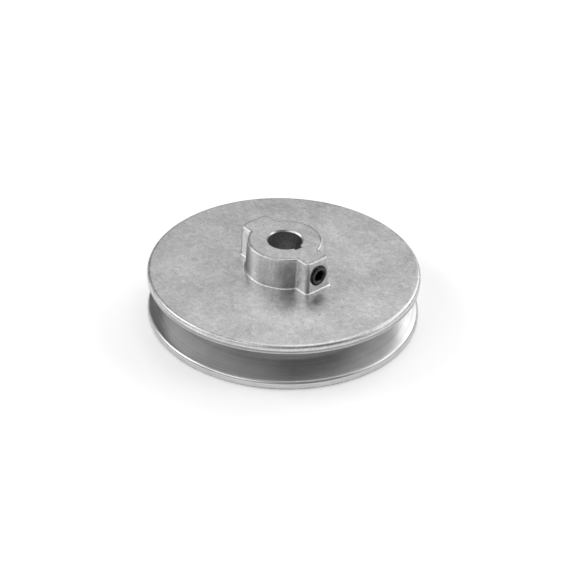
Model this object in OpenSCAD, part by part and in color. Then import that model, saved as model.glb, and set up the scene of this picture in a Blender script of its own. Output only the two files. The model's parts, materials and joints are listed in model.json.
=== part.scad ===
// Light-duty V-belt pulley: one die casting with a single groove, and the set screw in its hub.
// The origin is the middle of the back face. +Z runs along the shaft to the hub end, and +X
// runs out through the set screw. Everything is in millimetres.

/* [Rim] */
// Outside diameter of both rims
rim_d = 101.6; // [90:0.1:130]
// Width across the rims, from the back face to the front face
face_w = 19.05; // [17:0.05:24]
// Radius of the rounded edge between the front face and the rim
front_edge_r = 1.3; // [0.3:0.1:2]
// Radius of the rounded edge between the back face and the rim
back_edge_r = 1.2; // [0.3:0.1:2]

/* [Belt groove] */
// Width of the groove at the rim
groove_w = 12.5; // [11:0.1:14]
// Included angle of the groove's walls
groove_angle = 34; // [30:1:38]
// Depth of the groove from the rim
groove_depth = 12.7; // [9:0.1:14]
// Radius of the rounded lips of the groove
lip_r = 0.6; // [0.2:0.1:1]

/* [Web and back recess] */
// Thickness of the web behind the front face
web_t = 3.6; // [2.5:0.1:6]
// Wall left between the groove and the back recess
groove_wall = 2.9; // [2:0.1:5]
// Draft of the recess's walls, as the widening over its depth
recess_draft = 0.7; // [0:0.1:1.5]
// Radius of the fillets at the bottom of the recess
recess_fillet_r = 1.6; // [0.5:0.1:3]
// Diameter of the ejector pin marks on the back of the web
pin_mark_d = 5; // [3:0.5:8]
// Depth of the ejector pin marks
pin_mark_depth = 0.2; // [0.1:0.1:0.5]

/* [Hub] */
// How far the hub stands out of the front face
hub_h = 12.15; // [10:0.05:20]
// Hub diameter at the front face
hub_base_d = 29; // [24:0.1:34]
// Hub diameter at its end
hub_top_d = 27.8; // [23:0.1:33]
// Rounding of the edges at the hub's end
hub_edge_r = 0.8; // [0.3:0.1:1.3]
// Radius of the fillet at the foot of the hub
foot_fillet_r = 0.6; // [0.4:0.1:2.5]

/* [Bosses on the hub] */
// Distance from the shaft's axis to the set screw boss's face, at the hub's end
boss_reach_top = 18.4; // [17:0.1:22]
// The same distance at the front face
boss_reach_base = 19.2; // [17:0.1:23]
// Distance from the shaft's axis to the blank lug's face, at the hub's end
lug_reach_top = 18.3; // [16:0.1:22]
// The same distance at the front face
lug_reach_base = 18.4; // [16:0.1:23]
// Width of the boss at the hub's end
boss_w_top = 10.4; // [10:0.1:14]
// The same width at the front face
boss_w_base = 11.6; // [10:0.1:15]
// Width of the lug at the hub's end
lug_w_top = 12.7; // [10:0.1:14]
// The same width at the front face
lug_w_base = 13.5; // [10:0.1:15]
// Radius of the boss's upright edges
boss_corner_r = 1.4; // [0.9:0.1:3]
// Radius of the lug's upright edges
lug_corner_r = 2.2; // [0.9:0.1:3]

/* [Bore and keyway] */
// Bore diameter
bore_d = 12.7; // [9.5:0.05:16]
// Chamfer at each end of the bore
bore_chamfer = 0.5; // [0.2:0.1:1.2]
// Width of the keyway
keyway_w = 3.175; // [2:0.005:5]
// Depth of the keyway beyond the bore's wall
keyway_depth = 1.52; // [1:0.01:2.5]

/* [Set screw] */
// Major diameter of the set screw
screw_d = 7.85; // [7:0.01:8.5]
// Pitch of its thread
screw_pitch = 1.411; // [1:0.001:1.6]
// Length of the set screw
screw_l = 9.525; // [8:0.005:11]
// Distance across the flats of its hex socket
socket_af = 3.97; // [3:0.01:4.5]
// Depth of the hex socket
socket_depth = 4.2; // [3:0.1:5]
// Diameter of the rim of the cup point
cup_d = 4.4; // [3.8:0.1:5]
// Diameter of the hollow in the cup point
cup_hollow_d = 3.6; // [2:0.1:4.2]
// How far the screw's outer end stands proud of the boss's face
screw_proud = 0.8; // [0:0.05:2]
// Running clearance around the screw, on the radius
screw_clearance = 0.03; // [0.02:0.01:0.1]
// Chamfer at the mouth of the screw's hole
screw_mouth_chamfer = 0.1; // [0.1:0.1:0.8]

/* [Hidden] */
$fn = 128;
block_fn = 32;
over = 0.5;
thin = 0.01;
rim_r = rim_d / 2;
hub_top_z = face_w + hub_h;
groove_bottom_r = rim_r - groove_depth;
groove_mid_z = face_w / 2;
groove_half_bottom = groove_w / 2 - groove_depth * tan(groove_angle / 2);
recess_depth = face_w - web_t;
recess_outer_r = groove_bottom_r - groove_wall;
recess_inner_r = hub_base_d / 2;
pin_mark_pitch_r = (recess_outer_r + recess_inner_r) / 2;
pin_mark_count = 4;
bore_r = bore_d / 2;
screw_z = face_w + hub_h / 2;
boss_face_x = (boss_reach_top + boss_reach_base) / 2;
screw_hole_r = screw_d / 2 + screw_clearance;
screw_minor_r = screw_d / 2 - 0.6134 * screw_pitch;
crest_flat = screw_pitch / 8;
screw_chamfer = 0.7;
cup_hollow_depth = cup_hollow_d / 2 / tan(59);

// The waste outside a rounded corner at [x, y]. The solid lies towards [sx, sy] from the corner.
module corner_waste(x, y, sx, sy, r) {
    difference() {
        translate([sx > 0 ? x - over : x - r, sy > 0 ? y - over : y - r])
            square(r + over);
        translate([x + sx * r, y + sy * r])
            circle(r);
    }
}

// The fillet in an inside corner at [x, y]. The open space lies towards [sx, sy] from the corner.
module corner_fill(x, y, sx, sy, r) {
    difference() {
        translate([sx > 0 ? x - over : x - r, sy > 0 ? y - over : y - r])
            square(r + over);
        translate([x + sx * r, y + sy * r])
            circle(r);
    }
}

// Rims, groove, web and the hub's back half, turned about the shaft's axis.
module sheave() {
    rotate_extrude()
        difference() {
            union() {
                polygon([
                    [0, 0],
                    [recess_inner_r - recess_draft, 0],
                    [recess_inner_r, recess_depth],
                    [recess_outer_r, recess_depth],
                    [recess_outer_r + recess_draft, 0],
                    [rim_r, 0],
                    [rim_r, groove_mid_z - groove_w / 2],
                    [groove_bottom_r, groove_mid_z - groove_half_bottom],
                    [groove_bottom_r, groove_mid_z + groove_half_bottom],
                    [rim_r, groove_mid_z + groove_w / 2],
                    [rim_r, face_w],
                    [0, face_w],
                ]);
                corner_fill(recess_inner_r, recess_depth, 1, -1, recess_fillet_r);
                corner_fill(recess_outer_r, recess_depth, -1, -1, recess_fillet_r);
            }
            corner_waste(rim_r, face_w, -1, -1, front_edge_r);
            corner_waste(rim_r, 0, -1, 1, back_edge_r);
            corner_waste(rim_r, groove_mid_z + groove_w / 2, -1, 1, lip_r);
            corner_waste(rim_r, groove_mid_z - groove_w / 2, -1, -1, lip_r);
        }
}

// The hub's round nose in front of the web, with the fillet at its foot.
module hub_nose() {
    rotate_extrude()
        difference() {
            union() {
                polygon([
                    [0, face_w - over],
                    [hub_base_d / 2, face_w - over],
                    [hub_base_d / 2, face_w],
                    [hub_top_d / 2, hub_top_z],
                    [0, hub_top_z],
                ]);
                corner_fill(hub_base_d / 2, face_w, 1, 1, foot_fillet_r);
            }
            corner_waste(hub_top_d / 2, hub_top_z, -1, -1, hub_edge_r);
        }
}

// A block from the shaft's axis out to x = reach, with draft, upright edges of radius corner_r
// and a rounded top edge.
module drafted_block(reach_top, reach_base, w_top, w_base, corner_r) {
    $fn = block_fn;
    hull()
        for (side = [-1, 1]) {
            for (a = [0:22.5:90]) {
                drop = hub_edge_r * (1 - sin(a));
                inset = hub_edge_r * (1 - cos(a));
                for (x = [0, reach_top - corner_r])
                    translate([x, side * (w_top / 2 - corner_r), hub_top_z - drop - thin])
                        cylinder(r = corner_r - inset, h = thin);
            }
            for (x = [0, reach_base - corner_r])
                translate([x, side * (w_base / 2 - corner_r), face_w - over])
                    cylinder(r = corner_r, h = over);
        }
}

// Bore with a chamfer at each end.
module bore_cut() {
    translate([0, 0, -over])
        cylinder(r = bore_r, h = hub_top_z + 2 * over);
    rotate_extrude()
        polygon([[0, -over], [bore_r + bore_chamfer + over, -over], [bore_r, bore_chamfer], [0, bore_chamfer]]);
    rotate_extrude()
        polygon([
            [0, hub_top_z + over],
            [bore_r + bore_chamfer + over, hub_top_z + over],
            [bore_r, hub_top_z - bore_chamfer],
            [0, hub_top_z - bore_chamfer],
        ]);
}

// Keyway along the whole bore, on the set screw's side.
module keyway_cut() {
    translate([0, -keyway_w / 2, -over])
        cube([bore_r + keyway_depth, keyway_w, hub_top_z + 2 * over]);
}

// Hole for the set screw, from the bore out through the boss.
module screw_hole_cut() {
    translate([0, 0, screw_z])
        rotate([0, 90, 0])
            rotate_extrude()
                polygon([
                    [0, 0],
                    [screw_hole_r, 0],
                    [screw_hole_r, boss_face_x - screw_mouth_chamfer],
                    [screw_hole_r + screw_mouth_chamfer + over, boss_face_x + over],
                    [0, boss_face_x + over],
                ]);
}

// Shallow round marks that the ejector pins leave on the back of the web.
module pin_mark_cuts() {
    for (i = [0:pin_mark_count - 1])
        rotate([0, 0, (i + 0.5) * 360 / pin_mark_count])
            translate([pin_mark_pitch_r, 0, recess_depth - over])
                cylinder(d = pin_mark_d, h = pin_mark_depth + over);
}

module pulley_casting() {
    color("silver")
        difference() {
            union() {
                sheave();
                hub_nose();
                drafted_block(boss_reach_top, boss_reach_base, boss_w_top, boss_w_base, boss_corner_r);
                rotate([0, 0, 180])
                    drafted_block(lug_reach_top, lug_reach_base, lug_w_top, lug_w_base, lug_corner_r);
            }
            bore_cut();
            keyway_cut();
            screw_hole_cut();
            pin_mark_cuts();
        }
}

// Outline of the threaded length: one crest for each pitch.
function thread_points() = [
    for (i = [0:ceil(screw_l / screw_pitch)])
        each [
            [screw_minor_r, i * screw_pitch],
            [screw_d / 2, (i + 0.5) * screw_pitch - crest_flat / 2],
            [screw_d / 2, (i + 0.5) * screw_pitch + crest_flat / 2],
        ]
];

// The set screw standing on its point, before it is turned to lie along +X.
module set_screw_upright() {
    difference() {
        rotate_extrude()
            intersection() {
                polygon(concat([[0, 0]], thread_points(), [[0, screw_l + screw_pitch]]));
                polygon([
                    [0, 0],
                    [cup_d / 2, 0],
                    [screw_d / 2, (screw_d - cup_d) / 2],
                    [screw_d / 2, screw_l - screw_chamfer],
                    [screw_d / 2 - screw_chamfer, screw_l],
                    [0, screw_l],
                ]);
            }
        rotate_extrude()
            polygon([[0, -over], [cup_hollow_d / 2, -over], [cup_hollow_d / 2, 0], [0, cup_hollow_depth]]);
        translate([0, 0, screw_l - socket_depth])
            cylinder(d = socket_af / cos(30), h = socket_depth + over, $fn = 6);
    }
}

module set_screw() {
    color("dimgray")
        translate([boss_face_x + screw_proud - screw_l, 0, screw_z])
            rotate([0, 90, 0])
                set_screw_upright();
}

pulley_casting();
set_screw();
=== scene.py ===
import json
import math

import bmesh
import bpy
import numpy as np
from mathutils import Matrix, Vector

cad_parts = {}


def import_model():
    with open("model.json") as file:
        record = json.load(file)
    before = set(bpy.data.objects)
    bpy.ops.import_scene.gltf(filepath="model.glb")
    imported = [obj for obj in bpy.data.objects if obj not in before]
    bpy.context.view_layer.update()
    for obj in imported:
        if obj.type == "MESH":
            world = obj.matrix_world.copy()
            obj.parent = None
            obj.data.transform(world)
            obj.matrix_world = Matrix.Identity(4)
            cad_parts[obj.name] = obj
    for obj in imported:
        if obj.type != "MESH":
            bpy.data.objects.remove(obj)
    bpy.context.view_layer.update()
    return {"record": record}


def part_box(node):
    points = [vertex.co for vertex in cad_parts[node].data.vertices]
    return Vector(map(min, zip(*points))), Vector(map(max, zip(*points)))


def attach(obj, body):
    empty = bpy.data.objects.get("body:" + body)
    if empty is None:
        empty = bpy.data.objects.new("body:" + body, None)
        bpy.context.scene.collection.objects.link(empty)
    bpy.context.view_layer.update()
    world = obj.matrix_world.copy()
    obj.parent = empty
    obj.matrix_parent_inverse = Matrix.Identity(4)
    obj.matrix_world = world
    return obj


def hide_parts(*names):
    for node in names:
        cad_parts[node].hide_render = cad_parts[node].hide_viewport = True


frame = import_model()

# ---------------------------------------------------------------- sizes, in metres
MM = 0.001
record = frame["record"]
mounts = {m["name"]: m for m in record["mounts"]}
casting_low, casting_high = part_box("pulley_casting")
screw_low, screw_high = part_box("set_screw")

RIM_R = (casting_high.x - casting_low.x) / 2
HUB_TOP_Z = casting_high.z
BORE_R = mounts["bore"]["dims"]["r_mm"] * MM
FACE_Z = 2 * mounts["belt_groove"]["pos_m"][2]
GROOVE_MID_Z = mounts["belt_groove"]["pos_m"][2]
KEYWAY_REACH = mounts["keyway"]["pos_m"][0]
KEYWAY_HALF_W = 3.175 * MM / 2

GROOVE_W = 12.5 * MM
GROOVE_DEPTH = 12.7 * MM
GROOVE_HALF_ANGLE = math.radians(17)
GROOVE_BOTTOM_R = RIM_R - GROOVE_DEPTH
GROOVE_HALF_BOTTOM = GROOVE_W / 2 - GROOVE_DEPTH * math.tan(GROOVE_HALF_ANGLE)
GROOVE_CORNER_R = 0.8 * MM
FRONT_LIP_R = 0.30 * MM
BACK_LIP_R = 1.3 * MM

# The front rim is turned a little smaller below this height, with a painted shade line under the step.
LIP_STEP_Z = 17.1 * MM
LIP_STEP = 0.12 * MM
LIP_STEP_DROP = 0.10 * MM
LIP_STEP_R = 0.06 * MM
LIP_LINE_DROP = 0.55 * MM

WEB_T = 3.6 * MM
RECESS_DEPTH = FACE_Z - WEB_T
RECESS_OUTER_R = GROOVE_BOTTOM_R - 2.9 * MM
RECESS_DRAFT = 0.7 * MM
RECESS_EDGE_R = 0.6 * MM
RECESS_CORNER_R = 1.6 * MM
BACK_EDGE_R = 1.2 * MM
HUB_BASE_R = 14.5 * MM
HUB_TOP_R = 13.9 * MM
HUB_EDGE_R = 0.8 * MM
FOOT_FILLET_R = 0.6 * MM
FRONT_EDGE_R = 1.3 * MM
FLAT_FACE_R = RIM_R - 6 * MM
BORE_CHAMFER = 0.5 * MM
BORE_EDGE_R = 0.08 * MM
PIN_MARK_R = 2.5 * MM
PIN_MARK_DEPTH = 0.2 * MM
PIN_MARKS = 4

# The cast face waves by this share of each wave's length, and less and less towards the rim.
FACE_WAVE = 0.0022
WAVE_END_R = RIM_R - 3 * MM
WAVE_FADE = 6 * MM

# Each pair is the size at the front face, then at the hub's end.
BOSS = {"reach": (19.2 * MM, 18.4 * MM), "half_w": (5.8 * MM, 5.2 * MM), "corner_r": 1.4 * MM}
LUG = {"reach": (18.4 * MM, 18.3 * MM), "half_w": (6.75 * MM, 6.35 * MM), "corner_r": 2.2 * MM}
JUNCTION_BLEND = 0.7 * MM
# The outline of the hub, the boss and the lug lies between these distances from the axis.
OUTLINE_RANGE = (8 * MM, 30 * MM)

SCREW_AXIS_Z = (screw_low.z + screw_high.z) / 2
SCREW_R = (screw_high.z - screw_low.z) / 2
SCREW_PITCH = 1.411 * MM
SCREW_CLEARANCE = 0.03 * MM
SOCKET_HALF_FLATS = 3.97 * MM / 2
SOCKET_DEPTH = 4.2 * MM
THREAD_GROOVE = 0.2 * MM

# The casting's two materials, in the order of its material slots.
CAST, TURNED = 0, 1

# Where a mesh's edge attribute is above 0 the metal gets a painted highlight, and where it is below 0
# painted shade.
EDGE = "edge"
# These paint: highlights on convex profile corners and shade in concave ones, a shade line under the
# lip's step, shade along the back edge's rounding, and a highlight over the hub's top edge.
PROFILE_PAINTED_LIGHT = 0.2
STEP_PAINTED_SHADE = -0.9
BACK_EDGE_PAINTED_SHADE = -1.3
HUB_EDGE_PAINTED_HIGHLIGHT = 0.25

# Roundings up to the small size have few steps.
SMALL_ROUNDING = 0.1 * MM
SMALL_STEPS, ROUND_STEPS = 2, 6


# ---------------------------------------------------------------- mesh helpers
def mesh_object(name, vertices, faces, materials, slots, edge=None):
    """A new smooth-shaded object whose faces all look outwards. edge has one mark for each vertex."""
    mesh = bpy.data.meshes.new(name)
    mesh.from_pydata(np.asarray(vertices).tolist(), [], faces)
    for material in materials:
        mesh.materials.append(material)
    mesh.polygons.foreach_set("material_index", np.asarray(slots, np.int32))
    if edge is not None:
        attribute = mesh.attributes.new(EDGE, "FLOAT", "POINT")
        attribute.data.foreach_set("value", np.asarray(edge, np.float32))
    work = bmesh.new()
    work.from_mesh(mesh)
    bmesh.ops.recalc_face_normals(work, faces=work.faces)
    work.to_mesh(mesh)
    work.free()
    mesh.shade_smooth()
    piece = bpy.data.objects.new(name, mesh)
    bpy.context.scene.collection.objects.link(piece)
    return piece


def ring_faces(first, second, count):
    """Quads between two rings of count vertices that start at these indices."""
    return [
        (first + i, first + (i + 1) % count, second + (i + 1) % count, second + i)
        for i in range(count)
    ]


def rounded_path(corners):
    """Points of a path whose corners (a, b, radius, ...) are rounded. Each point is (a, b, the corner
    it belongs to, how fully it shows its corner's mark: below 0 in a concave rounding). The first and
    last corners stay sharp, and so do those without a radius."""
    points = []
    for i, corner in enumerate(corners):
        here = np.array(corner[:2])
        radius = corner[2]
        if i in (0, len(corners) - 1) or radius <= 0:
            points.append((*here, i, 1.0))
            continue
        back = np.array(corners[i - 1][:2]) - here
        ahead = np.array(corners[i + 1][:2]) - here
        back /= np.linalg.norm(back)
        ahead /= np.linalg.norm(ahead)
        half = math.acos(float(np.clip(back @ ahead, -1, 1))) / 2
        middle = back + ahead
        middle *= radius / math.sin(half) / np.linalg.norm(middle)
        centre = here + middle
        start = here + back * radius / math.tan(half) - centre
        end = here + ahead * radius / math.tan(half) - centre
        turn = math.atan2(start[0] * end[1] - start[1] * end[0], float(start @ end))
        bend = -math.copysign(1.0, turn)
        steps = ROUND_STEPS if radius > SMALL_ROUNDING else SMALL_STEPS
        for k in range(steps + 1):
            a = turn * k / steps
            c, s = math.cos(a), math.sin(a)
            spot = centre + np.array([c * start[0] - s * start[1], s * start[0] + c * start[1]])
            strength = math.sin(math.pi * k / steps)
            points.append((*spot, i, bend * strength))
    return points


def subdivided(points, longest, margin):
    """The same path with points added, so that no stretch is longer than longest, and with one point
    margin away from each end of a long stretch."""
    out = [points[0]]
    for a, b in zip(points, points[1:]):
        length = math.hypot(b[0] - a[0], b[1] - a[1])
        if length > 3 * margin:
            pieces = max(1, math.ceil((length - 2 * margin) / longest))
            share = margin / length
            for t in np.linspace(share, 1 - share, pieces + 1):
                out.append((a[0] + (b[0] - a[0]) * t, a[1] + (b[1] - a[1]) * t, a[2], 0.0))
        out.append(b)
    return out


# ---------------------------------------------------------------- the hub's outline
def lerp(a, b, t):
    """The value at share t of the way from a to b."""
    return a + (b - a) * t


def block_distance(x, y, block, height):
    """Signed distance to the outline of the boss or the lug, a rounded rectangle out from x = 0."""
    reach = lerp(*block["reach"], height)
    half_w = lerp(*block["half_w"], height)
    corner_r = block["corner_r"]
    qx = np.abs(x - reach / 2) - (reach / 2 - corner_r)
    qy = np.abs(y) - (half_w - corner_r)
    outside = np.hypot(np.maximum(qx, 0), np.maximum(qy, 0))
    return outside + np.minimum(np.maximum(qx, qy), 0) - corner_r


def blended(a, b, size):
    """Union of two distances with a fillet of about this size between them."""
    h = np.maximum(size - np.abs(a - b), 0) / size
    return np.minimum(a, b) - h * h * size / 4


def hub_radius(angles, height, grow, blend=JUNCTION_BLEND):
    """Distance from the axis to the outline of the hub, boss and lug, grown by grow, at each angle.
    height runs from 0 at the front face to 1 at the hub's end."""
    cos, sin = np.cos(angles), np.sin(angles)
    low, high = (np.full(len(angles), limit) for limit in OUTLINE_RANGE)
    halvings = 34
    for _ in range(halvings):
        mid = (low + high) / 2
        x, y = mid * cos, mid * sin
        hub = mid - lerp(HUB_BASE_R, HUB_TOP_R, height)
        boss = block_distance(x, y, BOSS, height)
        lug = block_distance(-x, y, LUG, height)
        inside = blended(blended(hub, boss, blend), lug, blend) < grow
        low = np.where(inside, mid, low)
        high = np.where(inside, high, mid)
    return (low + high) / 2


def keyway_radius(angles):
    """Distance from the axis to the keyway's walls, or 0 where it doesn't reach."""
    cos, sin = np.cos(angles), np.abs(np.sin(angles))
    reach = np.minimum(KEYWAY_REACH / np.maximum(cos, 1e-6), KEYWAY_HALF_W / np.maximum(sin, 1e-9))
    return np.where(cos > 0, reach, 0.0)


def column_angles(even=300, per_turn=64):
    """Angles of the mesh's columns: evenly spread, and closer where the outline turns."""
    fine = np.linspace(-math.pi, math.pi, 14401)
    reach = 30
    spread = np.ones(2 * reach + 1) / (2 * reach + 1)
    density = np.full(len(fine) - 1, even / (len(fine) - 1))
    for height in (0.0, 1.0):
        r = hub_radius(fine, height, 0.0)
        x, y = r * np.cos(fine), r * np.sin(fine)
        heading = np.unwrap(np.arctan2(np.diff(y), np.diff(x)))
        turning = np.abs(np.diff(heading, append=heading[:1] + 2 * math.pi))
        padded = np.concatenate([turning[-reach:], turning, turning[:reach]])
        density += np.convolve(padded, spread, "valid") * per_turn / (2 * math.pi) / 2
    total = np.concatenate([[0.0], np.cumsum(density)])
    count = int(round(total[-1]))
    even_spread = np.interp(np.arange(count) * total[-1] / count, total, fine)
    corner_in = math.atan2(KEYWAY_HALF_W, KEYWAY_REACH)
    corner_out = math.asin(KEYWAY_HALF_W / BORE_R)
    middle = lerp(corner_in, corner_out, 0.5)
    exact = np.array([side * a for side in (-1, 1) for a in (corner_in, middle, corner_out)])
    too_close = math.radians(0.25)
    near = np.abs(even_spread[:, None] - exact[None, :]).min(axis=1) < too_close
    return np.sort(np.concatenate([even_spread[~near], exact]))


# ---------------------------------------------------------------- the casting
def profile_corners():
    """The turned profile from the front face's rim round to the bore: (radius, z, rounding, slot, mark).
    The mark paints a highlight on a convex corner, and shade in a concave rounding or where it is below
    0."""
    return [
        (FLAT_FACE_R, FACE_Z, 0, CAST, 0),
        (RIM_R, FACE_Z, FRONT_EDGE_R, CAST, PROFILE_PAINTED_LIGHT),
        (RIM_R, LIP_STEP_Z, LIP_STEP_R, CAST, PROFILE_PAINTED_LIGHT),
        # The two rows under the lip's step carry a painted shade line.
        (RIM_R - LIP_STEP, LIP_STEP_Z - LIP_STEP_DROP, 0, TURNED, STEP_PAINTED_SHADE),
        (RIM_R - LIP_STEP, LIP_STEP_Z - LIP_LINE_DROP, 0, TURNED, STEP_PAINTED_SHADE),
        (RIM_R - LIP_STEP, GROOVE_MID_Z + GROOVE_W / 2, FRONT_LIP_R, TURNED, PROFILE_PAINTED_LIGHT),
        (GROOVE_BOTTOM_R, GROOVE_MID_Z + GROOVE_HALF_BOTTOM, GROOVE_CORNER_R, TURNED, PROFILE_PAINTED_LIGHT),
        (GROOVE_BOTTOM_R, GROOVE_MID_Z - GROOVE_HALF_BOTTOM, GROOVE_CORNER_R, TURNED, PROFILE_PAINTED_LIGHT),
        (RIM_R, GROOVE_MID_Z - GROOVE_W / 2, BACK_LIP_R, TURNED, PROFILE_PAINTED_LIGHT),
        # Painted shade along the back edge's rounding, where it meets the floor.
        (RIM_R, 0, BACK_EDGE_R, CAST, BACK_EDGE_PAINTED_SHADE),
        (RECESS_OUTER_R + RECESS_DRAFT, 0, RECESS_EDGE_R, CAST, PROFILE_PAINTED_LIGHT),
        (RECESS_OUTER_R, RECESS_DEPTH, RECESS_CORNER_R, CAST, PROFILE_PAINTED_LIGHT),
        (HUB_BASE_R, RECESS_DEPTH, RECESS_CORNER_R, CAST, PROFILE_PAINTED_LIGHT),
        (HUB_BASE_R - RECESS_DRAFT, 0, RECESS_EDGE_R, CAST, PROFILE_PAINTED_LIGHT),
        (BORE_R + BORE_CHAMFER, 0, BORE_EDGE_R, TURNED, PROFILE_PAINTED_LIGHT),
        (BORE_R, BORE_CHAMFER, BORE_EDGE_R, CAST, PROFILE_PAINTED_LIGHT),
        (BORE_R, HUB_TOP_Z - BORE_CHAMFER, BORE_EDGE_R, TURNED, PROFILE_PAINTED_LIGHT),
        (BORE_R + BORE_CHAMFER, HUB_TOP_Z, 0, CAST, 0),
    ]


def hub_rows(angles):
    """Rows over the hub's end, down its side and over the fillet at its foot: (radii, z, slot, edge).
    A painted shade line runs along the inner side of the hub's top edge, and a painted highlight along
    its foot."""
    height = HUB_TOP_Z - FACE_Z
    inner = np.maximum(BORE_R + BORE_CHAMFER, keyway_radius(angles))
    outer = hub_radius(angles, 1.0, -HUB_EDGE_R)
    rows = []
    for t in (0.06, 0.2, 0.35, 0.5, 0.65, 0.8, 0.93):
        rows.append((lerp(inner, outer, t), HUB_TOP_Z, CAST, 0.0))
    steps = 8
    for a in np.radians(np.linspace(0, 90, steps)):
        drop = HUB_EDGE_R * (1 - math.cos(a))
        radii = hub_radius(angles, 1 - drop / height, -HUB_EDGE_R * (1 - math.sin(a)))
        # Painted shade line at the start of the top edge's rounding, painted highlight across the rest
        # of it.
        painted_shade_line = math.cos(2 * a) ** 4 if a < math.radians(40) else 0.0
        rows.append((radii, HUB_TOP_Z - drop, CAST, HUB_EDGE_PAINTED_HIGHLIGHT * math.sin(2 * a) - painted_shade_line))
    for z in np.linspace(HUB_TOP_Z - HUB_EDGE_R, FACE_Z + FOOT_FILLET_R, 16)[1:-1]:
        rows.append((hub_radius(angles, (z - FACE_Z) / height, 0.0), z, CAST, 0.0))
    for a in np.radians(np.linspace(90, 0, steps)):
        rise = FOOT_FILLET_R * (1 - math.cos(a))
        radii = hub_radius(angles, rise / height, FOOT_FILLET_R * (1 - math.sin(a)))
        # Painted highlight in the fillet at the hub's foot.
        rows.append((radii, FACE_Z + rise, CAST, math.sin(2 * a)))
    return rows


def face_rows(angles, count=20):
    """Rows over the front face, from the foot of the hub to near the rim."""
    foot = hub_radius(angles, 0.0, FOOT_FILLET_R)
    shares = np.linspace(0, 1, count + 1)[1:]
    return [(lerp(foot, FLAT_FACE_R, t), FACE_Z, CAST, 0.0) for t in shares]


def profile_rows(angles):
    """Rows over the rims, the groove, the back and the bore."""
    corners = profile_corners()
    bore_corners = range(len(corners) - 4, len(corners))
    points = subdivided(rounded_path(corners), longest=3.0 * MM, margin=0.35 * MM)
    keyway = keyway_radius(angles)
    rows = []
    for r, z, corner, strength in points[1:]:
        radii = np.full(len(angles), r)
        if r < KEYWAY_REACH + 1 * MM and corner in bore_corners:
            radii = np.maximum(radii, keyway)
        slot, mark = corners[corner][3:]
        rows.append((radii, z, slot, mark * strength))
    return rows


def waviness(x, y):
    """Slight unevenness of a die-cast skin, from a few long waves."""
    random = np.random.default_rng(7)
    waves = 14
    total = np.zeros_like(x)
    for _ in range(waves):
        heading = random.uniform(0, 2 * math.pi)
        length = random.uniform(5, 16) * MM
        phase = random.uniform(0, 2 * math.pi)
        along = (x * math.cos(heading) + y * math.sin(heading)) * 2 * math.pi / length
        total += np.sin(along + phase) * length
    return total / waves


def casting_body(materials):
    """The casting before its cross hole is drilled: one closed grid of rows and columns."""
    angles = column_angles()
    count = len(angles)
    rows = hub_rows(angles) + face_rows(angles) + profile_rows(angles)
    cos, sin = np.cos(angles), np.sin(angles)
    vertices, edges = [], []
    for radii, z, slot, edge in rows:
        x, y = radii * cos, radii * sin
        height = np.full(count, z)
        if slot == CAST and abs(z - FACE_Z) < 1e-9:
            fade = np.clip((WAVE_END_R - radii) / WAVE_FADE, 0, 1)
            height = height + FACE_WAVE * waviness(x, y) * fade
        vertices.append(np.stack([x, y, height], axis=1))
        edges.append(np.full(count, edge))
    faces, slots = [], []
    for i, row in enumerate(rows):
        after = (i + 1) % len(rows)
        faces += ring_faces(i * count, after * count, count)
        slots += [row[2]] * count
    return mesh_object(
        "pulley", np.concatenate(vertices), faces, materials, slots, np.concatenate(edges)
    )


def thread_wave(x, phi, pitch):
    """0 at the thread's root and 1 at its crest, along a right-hand helix about +X."""
    turn = (x / pitch - phi / (2 * math.pi)) % 1.0
    ramp = np.abs(turn * 2 - 1)
    steepness, root_flat = 1.35, 0.12
    return np.clip((1 - ramp) * steepness - root_flat, 0, 1)


def lathe_x(name, radii, xs, slots, materials, edge=None, sides=96):
    """A closed solid about the screw's axis. radii has one row for each x and one column for each
    side, and edge has one mark for each x."""
    phi = np.arange(sides) * 2 * math.pi / sides
    vertices = [
        np.stack([np.full(sides, x), r * np.cos(phi), SCREW_AXIS_Z + r * np.sin(phi)], axis=1)
        for x, r in zip(xs, radii)
    ]
    count = len(xs)
    vertices.append(np.array([[xs[0], 0, SCREW_AXIS_Z], [xs[-1], 0, SCREW_AXIS_Z]]))
    faces, kinds = [], []
    for i in range(count - 1):
        faces += ring_faces(i * sides, (i + 1) * sides, sides)
        kinds += [slots[i]] * sides
    first, last = count * sides, count * sides + 1
    end_ring = (count - 1) * sides
    faces += [(first, (i + 1) % sides, i) for i in range(sides)]
    faces += [(last, end_ring + i, end_ring + (i + 1) % sides) for i in range(sides)]
    kinds += [slots[0]] * sides + [slots[-1]] * sides
    marks = None
    if edge is not None:
        marks = np.concatenate([np.repeat(edge, sides), [0.0, 0.0]])
    return mesh_object(name, np.concatenate(vertices), faces, materials, kinds, marks)


def screw_hole_cutter(materials, sides=72):
    """The tapped hole, from inside the bore out through the boss: a cylinder with the thread's
    grooves around it, plain at its mouth."""
    phi = np.arange(sides) * 2 * math.pi / sides
    start_x, stop_x = 2 * MM, 22 * MM
    thread_end_x = (BOSS["reach"][0] + BOSS["reach"][1]) / 2 - 0.6 * MM
    run_out = 1 * MM
    xs = np.arange(start_x, stop_x, SCREW_PITCH / 12)
    bore = SCREW_R + SCREW_CLEARANCE
    radii = []
    for x in xs:
        depth = THREAD_GROOVE * float(np.clip((thread_end_x - x) / run_out, 0, 1))
        radii.append(bore + depth * thread_wave(x, phi, SCREW_PITCH))
    return lathe_x("hole_cutter", radii, xs, [TURNED] * len(xs), materials, sides=sides)


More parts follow.
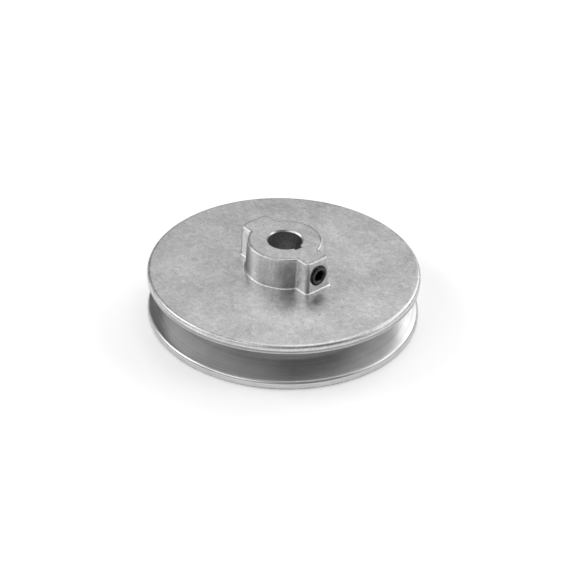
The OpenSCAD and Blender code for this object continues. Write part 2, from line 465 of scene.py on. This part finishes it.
def pin_mark_cutter(materials, sides=40):
    """The shallow round marks of the ejector pins, on the back of the web."""
    vertices, faces = [], []
    ring_r = (RECESS_OUTER_R + HUB_BASE_R) / 2
    below, above = RECESS_DEPTH - 1 * MM, RECESS_DEPTH + PIN_MARK_DEPTH
    for i in range(PIN_MARKS):
        turn = (i + 0.5) * 2 * math.pi / PIN_MARKS
        centre = Vector((ring_r * math.cos(turn), ring_r * math.sin(turn)))
        start = len(vertices)
        for z in (below, above):
            for k in range(sides):
                a = 2 * math.pi * k / sides
                x = centre.x + PIN_MARK_R * math.cos(a)
                vertices.append((x, centre.y + PIN_MARK_R * math.sin(a), z))
        faces += ring_faces(start, start + sides, sides)
        faces.append(tuple(start + k for k in range(sides)))
        faces.append(tuple(start + sides + k for k in reversed(range(sides))))
    return mesh_object("pin_cutter", vertices, faces, materials, [CAST] * len(faces))


def cut(piece, cutter):
    """Takes cutter's solid out of piece, for good."""
    modifier = piece.modifiers.new("cut", "BOOLEAN")
    modifier.operation = "DIFFERENCE"
    modifier.solver = "EXACT"
    modifier.object = cutter
    evaluated = piece.evaluated_get(bpy.context.evaluated_depsgraph_get())
    mesh = bpy.data.meshes.new_from_object(evaluated)
    piece.modifiers.clear()
    piece.data = mesh
    bpy.data.objects.remove(cutter)


def casting(materials):
    """The whole casting, with the set screw's hole and the pin marks cut into it."""
    piece = casting_body(materials)
    cut(piece, screw_hole_cutter(materials))
    cut(piece, pin_mark_cutter(materials))
    piece.data.set_sharp_from_angle(angle=math.radians(38))
    return piece


# ---------------------------------------------------------------- the set screw
def set_screw(material):
    """A socket set screw with a cup point: helical thread, chamfered ends and a hex socket."""
    sides = 96
    phi = np.arange(sides) * 2 * math.pi / sides
    tip, end = screw_low.x, screw_high.x
    root_r = SCREW_R - 0.61 * SCREW_PITCH
    cup_r, hollow_r, hollow_depth = 2.2 * MM, 1.8 * MM, 1.05 * MM
    end_r = SCREW_R - 0.75 * MM
    end_slope = 1.25
    centre_r = 0.05 * MM
    circle = np.ones(sides)
    xs, radii, edge = [], [], []

    def row(x, r, mark=0.0):
        xs.append(x)
        radii.append(r * circle)
        edge.append(mark)

    row(tip + hollow_depth, centre_r)
    row(tip + 0.06 * MM, hollow_r - 0.06 * MM)
    row(tip, hollow_r, 0.6)
    row(tip, cup_r - 0.05 * MM, 0.6)
    row(tip + 0.05 * MM, cup_r, 0.6)
    for x in np.arange(tip + 0.15 * MM, end - 0.05 * MM, SCREW_PITCH / 14):
        crest = lerp(root_r, SCREW_R, thread_wave(x, phi, SCREW_PITCH))
        point_cone = cup_r + (x - tip)
        end_cone = end_r + (end - x) * end_slope
        row(x, np.minimum(crest, min(point_cone, end_cone)))
    row(end - 0.04 * MM, end_r - 0.01 * MM, 0.5)
    row(end, end_r - 0.08 * MM, 0.3)
    hexagon = SOCKET_HALF_FLATS / np.cos((phi % (math.pi / 3)) - math.pi / 6)
    corner_r = SOCKET_HALF_FLATS / math.cos(math.pi / 6)
    row(end, corner_r + 0.28 * MM, 0.2)
    row(end - 0.03 * MM, corner_r + 0.22 * MM, 0.3)
    for depth in (0.12, 0.2, 0.28, 0.36, 0.44):
        row(end - depth * MM, np.maximum(hexagon, corner_r + (0.25 - depth) * MM), 0.2)
    for depth in np.linspace(0.6 * MM, SOCKET_DEPTH, 10):
        row(end - depth, hexagon)
    row(end - SOCKET_DEPTH - 0.15 * MM, SOCKET_HALF_FLATS * 0.9)
    row(end - SOCKET_DEPTH - 0.9 * MM, centre_r)
    slots = [0] * len(xs)
    piece = lathe_x("socket_set_screw", radii, xs, slots, [material], np.array(edge), sides)
    piece.data.set_sharp_from_angle(angle=math.radians(40))
    return piece


# ---------------------------------------------------------------- materials
class Nodes:
    """Short forms for making and linking shader nodes."""

    def __init__(self, name):
        self.material = bpy.data.materials.new(name)
        self.material.use_nodes = True
        self.tree = self.material.node_tree
        self.tree.nodes.clear()
        self.output = self.tree.nodes.new("ShaderNodeOutputMaterial")
        self.shader = self.tree.nodes.new("ShaderNodeBsdfPrincipled")
        self.link(self.shader.outputs[0], self.output.inputs["Surface"])

    def link(self, source, target):
        self.tree.links.new(source, target)

    def feed(self, node, name, value):
        """Links value into an input where it is a socket, and sets it there where it is a number."""
        if isinstance(value, bpy.types.NodeSocket):
            self.link(value, node.inputs[name])
        else:
            node.inputs[name].default_value = value

    def object_point(self):
        return self.tree.nodes.new("ShaderNodeTexCoord").outputs["Object"]

    def attribute(self, name):
        node = self.tree.nodes.new("ShaderNodeAttribute")
        node.attribute_name = name
        return node.outputs["Fac"]

    def math(self, operation, a, b=0.0, clamp=False):
        node = self.tree.nodes.new("ShaderNodeMath")
        node.operation = operation
        node.use_clamp = clamp
        self.feed(node, 0, a)
        if operation not in ("SQRT", "ABSOLUTE"):
            self.feed(node, 1, b)
        return node.outputs[0]

    def noise(self, vector, scale, detail=3.0, roughness=0.55):
        node = self.tree.nodes.new("ShaderNodeTexNoise")
        self.feed(node, "Vector", vector)
        node.inputs["Scale"].default_value = scale
        node.inputs["Detail"].default_value = detail
        node.inputs["Roughness"].default_value = roughness
        return node.outputs["Fac"]

    def span(self, value, from_low, from_high, to_low, to_high):
        """value carried over from one range to another, and held at its ends."""
        node = self.tree.nodes.new("ShaderNodeMapRange")
        self.feed(node, "Value", value)
        node.inputs["From Min"].default_value = from_low
        node.inputs["From Max"].default_value = from_high
        node.inputs["To Min"].default_value = to_low
        node.inputs["To Max"].default_value = to_high
        return node.outputs[0]

    def grey(self, value):
        node = self.tree.nodes.new("ShaderNodeCombineColor")
        for channel in ("Red", "Green", "Blue"):
            self.link(value, node.inputs[channel])
        return node.outputs[0]

    def bump(self, height, distance, strength=1.0, normal=None):
        node = self.tree.nodes.new("ShaderNodeBump")
        self.feed(node, "Height", height)
        node.inputs["Distance"].default_value = distance
        node.inputs["Strength"].default_value = strength
        if normal is not None:
            self.link(normal, node.inputs["Normal"])
        return node.outputs[0]

    def about_axis(self, around=0.0):
        """(distance from the shaft's axis, z, a little of the angle) as a point, for turned lines."""
        split = self.tree.nodes.new("ShaderNodeSeparateXYZ")
        self.link(self.object_point(), split.inputs[0])
        x, y, z = split.outputs
        square = self.math("ADD", self.math("MULTIPLY", x, x), self.math("MULTIPLY", y, y))
        join = self.tree.nodes.new("ShaderNodeCombineXYZ")
        self.link(self.math("SQRT", square), join.inputs[0])
        self.link(z, join.inputs[1])
        turn = self.math("MULTIPLY", self.math("ARCTAN2", y, x), around)
        self.link(turn, join.inputs[2])
        return join.outputs[0]


def cast_zinc():
    """Die-cast zinc: a satin skin with soft clouds, blotches, fine grain, thin dark flow lines and
    scattered dark specks, with painted highlights and painted shade from the edge attribute."""
    n = Nodes("cast_zinc")
    point = n.object_point()
    edge = n.attribute(EDGE)
    cloud = n.noise(point, 55.0, 3.0, 0.6)
    blotch = n.noise(point, 420.0, 5.0, 0.75)
    grain = n.noise(point, 1500.0, 3.0, 0.65)
    speck = n.noise(point, 900.0, 2.0, 0.5)
    flow = n.math("ABSOLUTE", n.math("SUBTRACT", n.noise(point, 210.0, 4.0, 0.7), 0.5))
    tone = n.math("ADD", n.span(cloud, 0.3, 0.7, -0.09, 0.09), n.span(blotch, 0.3, 0.7, -0.11, 0.11))
    tone = n.math("ADD", tone, n.span(grain, 0.25, 0.75, -0.11, 0.11))
    tone = n.math("ADD", tone, n.span(speck, 0.64, 0.76, 0.0, -0.2))
    tone = n.math("ADD", tone, n.span(flow, 0.0, 0.03, -0.07, 0.0))
    # Painted highlights where the edge attribute is above 0, painted shade where it is below 0.
    tone = n.math("ADD", tone, n.span(edge, 0.0, 1.0, 0.0, 0.3))
    tone = n.math("ADD", tone, n.span(edge, -1.0, 0.0, -0.24, 0.0))
    tone = n.math("ADD", tone, 0.63, clamp=True)
    n.link(n.grey(tone), n.shader.inputs["Base Color"])
    n.shader.inputs["Metallic"].default_value = 1.0
    rough = n.math("ADD", n.span(blotch, 0.3, 0.7, 0.34, 0.44), n.span(cloud, 0.3, 0.7, -0.04, 0.04))
    n.link(rough, n.shader.inputs["Roughness"])
    coarse = n.bump(blotch, 0.09 * MM, 0.7)
    n.link(n.bump(grain, 0.02 * MM, 0.7, coarse), n.shader.inputs["Normal"])
    return n.material


def turned_zinc():
    """Machined zinc: fine lines and broader bands around the shaft's axis, with painted highlights and
    painted shade from the edge attribute.
    """
    n = Nodes("turned_zinc")
    around = n.about_axis(0.0002)
    lines = n.noise(around, 2600.0, 3.0, 0.75)
    bands = n.noise(around, 520.0, 4.0, 0.65)
    cloud = n.noise(n.object_point(), 90.0, 3.0, 0.6)
    edge = n.attribute(EDGE)
    tone = n.math("ADD", n.span(lines, 0.25, 0.75, -0.1, 0.1), n.span(bands, 0.3, 0.7, -0.11, 0.11))
    tone = n.math("ADD", tone, n.span(cloud, 0.3, 0.7, -0.05, 0.05))
    # Painted highlights where the edge attribute is above 0, painted shade where it is below 0.
    tone = n.math("ADD", tone, n.span(edge, 0.0, PROFILE_PAINTED_LIGHT, 0.0, 0.1))
    tone = n.math("ADD", tone, n.span(edge, -1.0, 0.0, -0.26, 0.0))
    tone = n.math("ADD", tone, 0.6, clamp=True)
    n.link(n.grey(tone), n.shader.inputs["Base Color"])
    n.shader.inputs["Metallic"].default_value = 1.0
    n.link(n.span(bands, 0.3, 0.7, 0.3, 0.38), n.shader.inputs["Roughness"])
    n.shader.inputs["Anisotropic"].default_value = 0.4
    tangent = n.tree.nodes.new("ShaderNodeTangent")
    tangent.direction_type = "RADIAL"
    tangent.axis = "Z"
    n.link(tangent.outputs[0], n.shader.inputs["Tangent"])
    n.link(n.bump(lines, 0.02 * MM, 0.4), n.shader.inputs["Normal"])
    return n.material


def black_oxide():
    """Black-oxide steel, darker in the hollows and lighter along its edges."""
    n = Nodes("black_oxide")
    point = n.object_point()
    edge = n.attribute(EDGE)
    patch = n.noise(point, 900.0, 4.0, 0.6)
    grain = n.noise(point, 5200.0, 2.0, 0.5)
    oxide = n.span(patch, 0.3, 0.7, 0.03, 0.075)
    tone = n.math("ADD", oxide, n.span(edge, 0.0, 1.0, 0.0, 0.16), clamp=True)
    n.link(n.grey(tone), n.shader.inputs["Base Color"])
    n.shader.inputs["Metallic"].default_value = 0.85
    n.link(n.span(patch, 0.3, 0.7, 0.34, 0.5), n.shader.inputs["Roughness"])
    n.link(n.bump(grain, 0.015 * MM, 0.5), n.shader.inputs["Normal"])
    return n.material


def white_sweep():
    """White acrylic, lit a little from below."""
    n = Nodes("white_sweep")
    grain = n.noise(n.object_point(), 300.0)
    n.link(n.grey(n.span(grain, 0.0, 1.0, 0.84, 0.86)), n.shader.inputs["Base Color"])
    n.shader.inputs["Roughness"].default_value = 0.9
    n.shader.inputs["Specular IOR Level"].default_value = 0.2
    n.shader.inputs["Emission Color"].default_value = (1, 1, 1, 1)
    n.shader.inputs["Emission Strength"].default_value = FLOOR_GLOW
    return n.material


# ---------------------------------------------------------------- stage, light and camera
VIEW_AZIMUTH = math.radians(48.1)
VIEW_ELEVATION = math.radians(33.70)
VIEW_ROLL = math.radians(-1.927)
VIEW_DISTANCE = 0.700
VIEW_AIM_Z = 0.010
VIEW_SIDE, VIEW_RISE = -1.680 * MM, 0.088 * MM
LENS_MM = 117.1
SENSOR_MM = 36.0
NEAREST, FARTHEST = 0.01, 50.0
LAMP_DISTANCE = 1.3
FLOOR_HALF = 3.0
FLOOR_GLOW = 0.37
ROOM_LIGHT = 0.16
BACKDROP = 0.9


def view_axes(azimuth, elevation):
    """Right, up and forward of a level camera that looks at the object from there."""
    forward = Vector((
        -math.sin(azimuth) * math.cos(elevation),
        math.cos(azimuth) * math.cos(elevation),
        -math.sin(elevation),
    ))
    right = Vector((math.cos(azimuth), math.sin(azimuth), 0.0))
    return right, right.cross(forward), forward


def camera():
    """The scene's camera, at the photo's viewing angle."""
    right, up, forward = view_axes(VIEW_AZIMUTH, VIEW_ELEVATION)
    place = Vector((0, 0, VIEW_AIM_Z)) - forward * VIEW_DISTANCE - right * VIEW_SIDE - up * VIEW_RISE
    c, s = math.cos(VIEW_ROLL), math.sin(VIEW_ROLL)
    across, above = right * c - up * s, right * s + up * c
    turn = Matrix((across, above, -forward)).transposed().to_4x4()
    data = bpy.data.cameras.new("camera")
    data.lens = LENS_MM
    data.sensor_width = SENSOR_MM
    data.clip_start, data.clip_end = NEAREST, FARTHEST
    made = bpy.data.objects.new("camera", data)
    made.matrix_world = Matrix.Translation(place) @ turn
    bpy.context.scene.collection.objects.link(made)
    bpy.context.scene.camera = made


def softbox(name, side, elevation, width, height, radiance):
    """An area light aimed at the object. side is its angle from the view's right, counted
    anticlockwise seen from above, and elevation its angle above the floor, both in degrees."""
    angle = VIEW_AZIMUTH + math.radians(side)
    e = math.radians(elevation)
    toward = Vector((math.cos(angle) * math.cos(e), math.sin(angle) * math.cos(e), math.sin(e)))
    data = bpy.data.lights.new(name, "AREA")
    data.shape = "RECTANGLE"
    data.size, data.size_y = width, height
    data.energy = radiance * math.pi * width * height
    lamp = bpy.data.objects.new(name, data)
    lamp.location = toward * LAMP_DISTANCE
    lamp.rotation_euler = toward.to_track_quat("Z", "Y").to_euler()
    lamp.visible_camera = False
    bpy.context.scene.collection.objects.link(lamp)


def world():
    """An even, dim room around the object. Seen directly it is an even, pale backdrop."""
    made = bpy.data.worlds.new("studio")
    made.use_nodes = True
    tree = made.node_tree
    background = tree.nodes["Background"]
    background.inputs["Color"].default_value = (1, 1, 1, 1)
    path = tree.nodes.new("ShaderNodeLightPath")
    level = tree.nodes.new("ShaderNodeMix")
    tree.links.new(path.outputs["Is Camera Ray"], level.inputs["Factor"])
    level.inputs["A"].default_value = ROOM_LIGHT
    level.inputs["B"].default_value = BACKDROP
    tree.links.new(level.outputs["Result"], background.inputs["Strength"])
    bpy.context.scene.world = made


def floor():
    """The pale floor that the pulley lies on."""
    half = FLOOR_HALF
    corners = [(-half, -half, 0), (half, -half, 0), (half, half, 0), (-half, half, 0)]
    mesh = bpy.data.meshes.new("floor")
    mesh.from_pydata(corners, [], [(0, 1, 2, 3)])
    mesh.materials.append(white_sweep())
    made = bpy.data.objects.new("floor", mesh)
    made.location.z = casting_low.z
    bpy.context.scene.collection.objects.link(made)


def studio():
    """Soft lights all round, one overhead, and the floor."""
    world()
    softbox("back", side=86, elevation=46, width=0.9, height=0.6, radiance=1.02)
    softbox("left", side=174, elevation=34, width=0.75, height=0.75, radiance=2.7)
    softbox("front_left", side=230, elevation=40, width=0.8, height=0.6, radiance=1.8)
    softbox("right_back", side=46, elevation=34, width=0.8, height=0.6, radiance=2.4)
    softbox("right", side=0, elevation=32, width=0.6, height=0.6, radiance=2.4)
    softbox("key", side=40, elevation=80, width=0.9, height=0.8, radiance=1.6)
    floor()


# ---------------------------------------------------------------- the build
def build():
    """The stage, then the two pieces, each on its body and in place of its CAD node."""
    camera()
    studio()
    metal = [cast_zinc(), turned_zinc()]
    pulley = casting(metal)
    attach(pulley, "pulley")
    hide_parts("pulley_casting")
    screw = set_screw(black_oxide())
    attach(screw, "set_screw")
    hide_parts("set_screw")
    bpy.context.scene.view_settings.view_transform = "Standard"


build()
